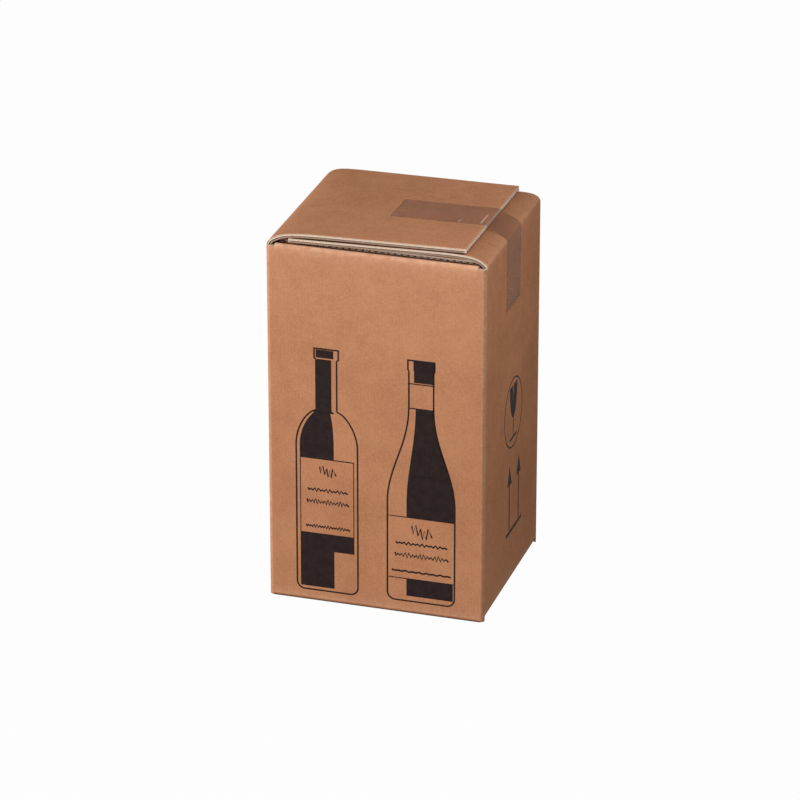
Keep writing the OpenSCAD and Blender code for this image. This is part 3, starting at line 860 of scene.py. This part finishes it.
# %% Tape strip
step_x, step_z = np.gradient(tape_x, axis=0), np.gradient(tape_z, axis=0)
tape_run = np.cumsum(np.hypot(step_x, step_z), axis=0)
tape_normal = np.stack([-step_z, step_x], -1) / np.hypot(step_x, step_z)[..., None]


def crease(at, tilt, low, high):
    """A ridge across the tape, at a distance from the free edge: exp(-(d / half) ** 2) between two y."""
    d = tape_x - (X - OUTER_REVEAL + at) - tilt * (tape_y - low)
    ends = np.clip((tape_y - low) / CREASE_END, 0, 1) * np.clip((high - tape_y) / CREASE_END, 0, 1)
    return np.exp(-(d / CREASE_HALF) ** 2) * ends * (tape_x < X - OUTER_REVEAL)


creases = sum(crease(*one) for one in CREASES)


def tape_grid(offset):
    """The strip at an offset outside the board, with its creases standing up."""
    lift = (offset + CREASE_LIFT * creases)[..., None] * tape_normal
    y = np.broadcast_to(tape_y, tape_x.shape)
    return np.stack([tape_x + lift[..., 0], y, tape_z + lift[..., 1]], -1)


TAPE_TONE, TAPE_PALE, TAPE_ALPHA = (0.110, 0.030, 0.008, 1.0), (0.300, 0.095, 0.030, 1.0), 0.175
# The creases' colours are a painted highlight, paler than the film.
CREASE_HIGHLIGHT_TONE, CREASE_HIGHLIGHT_PALE, CREASE_ALPHA = (0.700, 0.560, 0.470, 1.0), (0.900, 0.760, 0.660, 1.0), 0.40
CREASE_HIGHLIGHT_FROM = 0.35
FILM_CLOUDS, FILM_RIPPLES = 60.0, 110.0
TAPE_GLOSS = (0.32, 0.15)


def tape_finish(name, tone, pale, alpha):
    """A see-through film, cloudy between two colours, with soft ripples."""
    material, tree, shader = new_finish(name, *TAPE_GLOSS, alpha)
    place = node(tree, "ShaderNodeTexCoord").outputs["Object"]
    film = mixed(tree, between(tree, noise(tree, place, FILM_CLOUDS, 3.0), 0.35, 0.65), tone, pale)
    tree.links.new(film, shader.inputs["Base Color"])
    bumps(tree, shader, noise(tree, place, FILM_RIPPLES, 1.0), 0.08, 0.0004)
    return material


clear = tape_finish("clear_tape", TAPE_TONE, TAPE_PALE, TAPE_ALPHA)
crease_highlight = tape_finish("crease_highlight_tape", CREASE_HIGHLIGHT_TONE, CREASE_HIGHLIGHT_PALE, CREASE_ALPHA)
strip = slab(tape_grid(TAPE_GAP + TAPE_T), tape_grid(TAPE_GAP), tape_y, tape_run, creases)
# Faces on a crease take the painted highlight.
on_crease = strip.wear[strip.faces].mean(axis=1) > CREASE_HIGHLIGHT_FROM
strip = strip._replace(finish=on_crease.astype(np.int32))
make_piece("packing_tape", [strip], [clear, crease_highlight], "closing_tape")

# %% [markdown]
# ## Printing ink
# Shipping cartons are printed in one flat dark ink. Each mark is a field of ink between two edge
# curves, or a stroke of even width along a line. They are films that stand a twentieth of a millimetre
# out of the wall and follow its dish, so the print stays sharp at any size.

# %% Ink on a wall
INK_OUT, INK_IN = 0.05, 0.03
FIELD_ROWS, FIELD_COLUMNS = 40, 6


def front_place(across, z, out):
    """A place on the front wall: x, and y from the wall's dish less out."""
    x = np.broadcast_to(across, z.shape)
    share = (X - R - x) / (2 * (X - R))
    along = across_at(X - R, -Y) + X - R - x
    inside = dish(1 - (2 * share - 1) ** 8, wall_free_up(z, LOW_FRONT), along, z)
    return np.stack([x, inside - Y - out, z], -1)


def right_place(across, z, out):
    """A place on the right wall: y, and x from the wall's dish plus out."""
    y = np.broadcast_to(across, z.shape)
    return np.stack([right_wall_x(y, z) + out, y, z], -1)


def ink_shell(wall, across, z):
    """A film of ink over a grid of places on a wall."""
    return slab(wall(across, z, INK_OUT), wall(across, z, -INK_IN), across, z, 0.0)


def field(wall, left, right, low, high):
    """Ink between two edge curves, left(z) and right(z), from one height to another."""
    z = np.linspace(low, high, FIELD_ROWS)[:, None]
    share = np.linspace(0, 1, FIELD_COLUMNS)
    return ink_shell(wall, left(z) * (1 - share) + right(z) * share, np.repeat(z, FIELD_COLUMNS, 1))


def bar(wall, left, right, low, high):
    """A plain bar of ink."""
    return field(wall, lambda z: left + 0 * z, lambda z: right + 0 * z, low, high)


def stroke(wall, line, width):
    """A stroke of ink along a line of (across, z) places, width wide to the left of its course."""
    course = np.gradient(line, axis=0)
    course /= np.linalg.norm(course, axis=1)[:, None]
    side = line + width * np.stack([-course[:, 1], course[:, 0]], -1)
    grid = np.stack([line, side], 1)
    return ink_shell(wall, grid[..., 0], grid[..., 1])


INK_DARK, INK_WORN = (0.018, 0.011, 0.011, 1.0), (0.032, 0.020, 0.019, 1.0)
INK_CLOUDS, INK_SPECKS = 120.0, 1400.0
ink, tree, shader = new_finish("printing_ink", 0.75, 0.08)
place = node(tree, "ShaderNodeTexCoord").outputs["Object"]
specks = times(tree, noise(tree, place, INK_CLOUDS, 3.0), 0.6)
specks = sums(tree, specks, noise(tree, place, INK_SPECKS, 1.0), 0.4)
tree.links.new(mixed(tree, between(tree, specks, 0.35, 0.7), INK_DARK, INK_WORN), shader.inputs["Base Color"])
bumps(tree, shader, noise(tree, place, GRAIN), 0.3, 0.0002)
print("ink finish:", ink.name)

# %% [markdown]
# ## Two bottles
# The front wall shows what goes inside: a bottle with high round shoulders and one with long sloping
# shoulders. Each is a plain pictogram built from one curve, the half width at each height. The outline
# is a stroke along that curve, the glass is a dark field inside it with a light streak beside it, and
# the label is a panel with a few zigzag lines.

# %% Bottle outlines
Bottle = namedtuple("Bottle", "middle base top body neck shoulder_low shoulder_high power lip")
BASE_R = 9.0
LIP_H = 12.0
OUTLINE, LABEL_LINE, ZIGZAG_W = 1.7, 1.2, 2.0

round_bottle = Bottle(-51.0, 12.5, 280.0, 33.0, 11.6, 173.0, 213.0, 0.30, 13.4)
sloping_bottle = Bottle(47.3, 14.0, 279.5, 36.0, 13.6, 122.0, 232.0, 1.15, 14.6)


def half_width(bottle, z):
    """neck + (body - neck) * (half of 1 + cos over the shoulder) ** power, and a lip at the top."""
    share = np.clip((z - bottle.shoulder_low) / (bottle.shoulder_high - bottle.shoulder_low), 0, 1)
    width = bottle.neck + (bottle.body - bottle.neck) * (0.5 + 0.5 * np.cos(np.pi * share)) ** bottle.power
    return np.where(z > bottle.top - LIP_H, bottle.lip, width)


def outline(bottle):
    """The right half of the outline, from the middle of the base to the middle of the top."""
    turn = np.linspace(-np.pi / 2, 0, 10)
    corner_x, corner_z = bottle.body - BASE_R, bottle.base + BASE_R
    foot = np.stack([np.linspace(0, corner_x, 8)[:-1], np.full(7, bottle.base)], -1)
    heel = np.stack([corner_x + BASE_R * np.cos(turn), corner_z + BASE_R * np.sin(turn)], -1)
    z = np.linspace(corner_z, bottle.top, 160)[1:]
    side = np.stack([half_width(bottle, z), z], -1)
    mouth = np.stack([np.linspace(bottle.lip, 0, 6)[1:], np.full(5, bottle.top)], -1)
    return np.concatenate([foot, heel, side, mouth])


def bottle_outline(bottle):
    """Both halves of the outline, as strokes that lie inside the curve."""
    half = outline(bottle)
    right = half + [bottle.middle, 0]
    left = (half * [-1, 1] + [bottle.middle, 0])[::-1]
    return [stroke(front_place, right, OUTLINE), stroke(front_place, left, OUTLINE)]


def glass(bottle, left, right, low, high, inset=0.0):
    """A field inside the bottle, from left to right times its half width, kept inset from the outline."""
    return field(
        front_place,
        lambda z: bottle.middle + np.maximum(left * half_width(bottle, z), inset - half_width(bottle, z)),
        lambda z: bottle.middle + np.minimum(right * half_width(bottle, z), half_width(bottle, z) - inset),
        low, high)


def zigzags(bottle, lines):
    """Zigzag lines on the label. Each is (half length, middle height, swing, turns).

    z = middle +- swing * (0.65 + 0.35 * sin(11 s + 1)), up and down by turns, with s from -1 to 1."""
    made = []
    for half, middle, swing, turns in lines:
        s = np.linspace(-1, 1, 2 * turns)
        z = middle + swing * (-1.0) ** np.arange(2 * turns) * (0.65 + 0.35 * np.sin(11 * s + 1))
        line = np.stack([bottle.middle + half * s, z], -1)
        made.append(stroke(front_place, line, ZIGZAG_W))
    return made


# %% Bottle print
INSET, SIDE_LINE = 4.6, 0.9
LABEL_LOW, LABEL_HIGH, NECK_LOW, NECK_HIGH = 77.0, 160.0, 210.0, 268.0
DARK_LOW, FOOT_LOW = 58.0, 17.0
round_print = bottle_outline(round_bottle) + [
    glass(round_bottle, -0.85, 0.45, NECK_LOW, NECK_HIGH, OUTLINE),
    glass(round_bottle, -1.0, 0.22, LABEL_HIGH, NECK_LOW, INSET),
    glass(round_bottle, -0.85, 0.55, NECK_HIGH + 1.5, NECK_HIGH + 10.0, 2.6),
    glass(round_bottle, -1.0, 1.0, LABEL_HIGH - LABEL_LINE, LABEL_HIGH, INSET),
    glass(round_bottle, -1.0, 1.0, DARK_LOW, LABEL_LOW, INSET),
    glass(round_bottle, -1.0, 0.22, FOOT_LOW, DARK_LOW, INSET)]
for side in (INSET - round_bottle.body, round_bottle.body - INSET - SIDE_LINE):
    x = round_bottle.middle + side
    round_print.append(bar(front_place, x, x + SIDE_LINE, LABEL_LOW, LABEL_HIGH - 1.0))
round_lines = ((8.5, 145.0, 6.5, 5), (21.0, 124.0, 2.0, 11), (22.0, 111.0, 3.0, 14), (23.0, 83.5, 1.8, 16))
round_print += zigzags(round_bottle, round_lines)

HEEL_LOW, PANEL_LOW, PANEL_HIGH, PANEL_LINE = 20.5, 39.0, 108.0, 1.0
FOIL_LOW, FOIL_HIGH, CAP_LOW, CAP_HIGH = 226.5, 253.0, 255.0, 278.0
sloping_print = bottle_outline(sloping_bottle) + [
    glass(sloping_bottle, -0.55, 1.0, CAP_LOW, CAP_HIGH, 0.8),
    glass(sloping_bottle, -1.0, 1.0, FOIL_HIGH, FOIL_HIGH + LABEL_LINE),
    glass(sloping_bottle, -1.0, 1.0, FOIL_LOW, FOIL_LOW + LABEL_LINE),
    glass(sloping_bottle, -0.42, 1.0, PANEL_HIGH, FOIL_LOW, 0.8),
    glass(sloping_bottle, -1.0, 1.0, PANEL_HIGH - PANEL_LINE, PANEL_HIGH),
    glass(sloping_bottle, -1.0, 1.0, PANEL_LOW, PANEL_LOW + PANEL_LINE),
    glass(sloping_bottle, -0.42, 1.0, HEEL_LOW, PANEL_LOW, 2.5)]
sloping_lines = ((10.5, 91.5, 8.0, 5), (27.0, 77.5, 1.6, 12), (28.0, 64.5, 3.0, 15), (31.0, 46.5, 0.8, 9))
sloping_print += zigzags(sloping_bottle, sloping_lines)
make_piece("bottle_print", round_print + sloping_print, [ink])

# %% [markdown]
# ## Handling marks
# The right wall carries two marks that every carrier knows: a cracked glass in an oval, for fragile
# goods, and two arrows over a bar, for this way up. Both are built from the same fields and strokes.

# %% Marks on the right wall
OVAL_AT, OVAL_HALF = np.array([5.0, 188.6]), np.array([33.0, 38.0])
GLASS_TOP, GLASS_LOW, GLASS_HALF, STEM_LOW = 219.0, 183.0, 13.5, 163.0
BOWL_LOW, CRACK_LOW = 183.3, 201.0
ARROWS, ARROW_LOW, ARROW_NECK, ARROW_TIP = (-6.7, 26.7), 62.0, 112.0, 134.0
ARROW_SHAFT, ARROW_HEAD = 1.6, 7.8
GROUND_FROM, GROUND_TO, GROUND_LOW, GROUND_HIGH = -18.0, 38.4, 57.0, 60.8
STEM_HALF, FOOT_HALF, FOOT_H = 1.0, 13.0, 3.0
turn = np.linspace(0, 2 * np.pi, 97)
oval = OVAL_AT + OVAL_HALF * np.stack([np.cos(turn), np.sin(turn)], -1)


def bowl(z):
    """Half width of the glass: a half ellipse that opens to the top."""
    return GLASS_HALF * np.sqrt(np.clip(1 - ((GLASS_TOP - z) / (GLASS_TOP - GLASS_LOW)) ** 2, 0, 1))


def crack(z):
    """A zigzag down from the rim."""
    return OVAL_AT[0] + np.interp(z, [CRACK_LOW, 206.0, 211.0, 215.0, GLASS_TOP], [0.0, -3.2, 1.4, -2.6, 0.6])


def crack_half(z):
    """Half the width of the crack, which closes downwards."""
    return 1.5 * (z - CRACK_LOW) / (GLASS_TOP - CRACK_LOW)


def arrow_half(z):
    """Half width of an arrow's head, which narrows evenly to its tip."""
    return ARROW_HEAD * (ARROW_TIP - z) / (ARROW_TIP - ARROW_NECK)


centre = OVAL_AT[0]
marks = [
    stroke(right_place, oval, OUTLINE),
    field(right_place, lambda z: centre - bowl(z), lambda z: centre + bowl(z), BOWL_LOW, CRACK_LOW),
    field(right_place, lambda z: centre - bowl(z), lambda z: crack(z) - crack_half(z), CRACK_LOW, GLASS_TOP),
    field(right_place, lambda z: crack(z) + crack_half(z), lambda z: centre + bowl(z), CRACK_LOW, GLASS_TOP),
    bar(right_place, centre - STEM_HALF, centre + STEM_HALF, STEM_LOW, GLASS_LOW + 0.5),
    bar(right_place, centre - FOOT_HALF, centre + FOOT_HALF, STEM_LOW - FOOT_H, STEM_LOW),
    bar(right_place, GROUND_FROM, GROUND_TO, GROUND_LOW, GROUND_HIGH)]
for at in ARROWS:
    marks.append(bar(right_place, at - ARROW_SHAFT, at + ARROW_SHAFT, ARROW_LOW, ARROW_NECK))
    marks.append(field(
        right_place, lambda z: at - arrow_half(z), lambda z: at + arrow_half(z), ARROW_NECK, ARROW_TIP - 0.3))
make_piece("handling_marks", marks, [ink])

# %% [markdown]
# ## Dividers
# Two slotted boards cross inside and make four cells. Their solids already have the true shape, so
# they stay as they are and only get their own darker recycled paper.

# %% Divider finish
for name in ("divider_long", "divider_cross"):
    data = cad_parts[name].data
    data.materials.clear()
    data.materials.append(divider_kraft)
    print(name, "has", len(data.polygons), "faces in", data.materials[0].name)
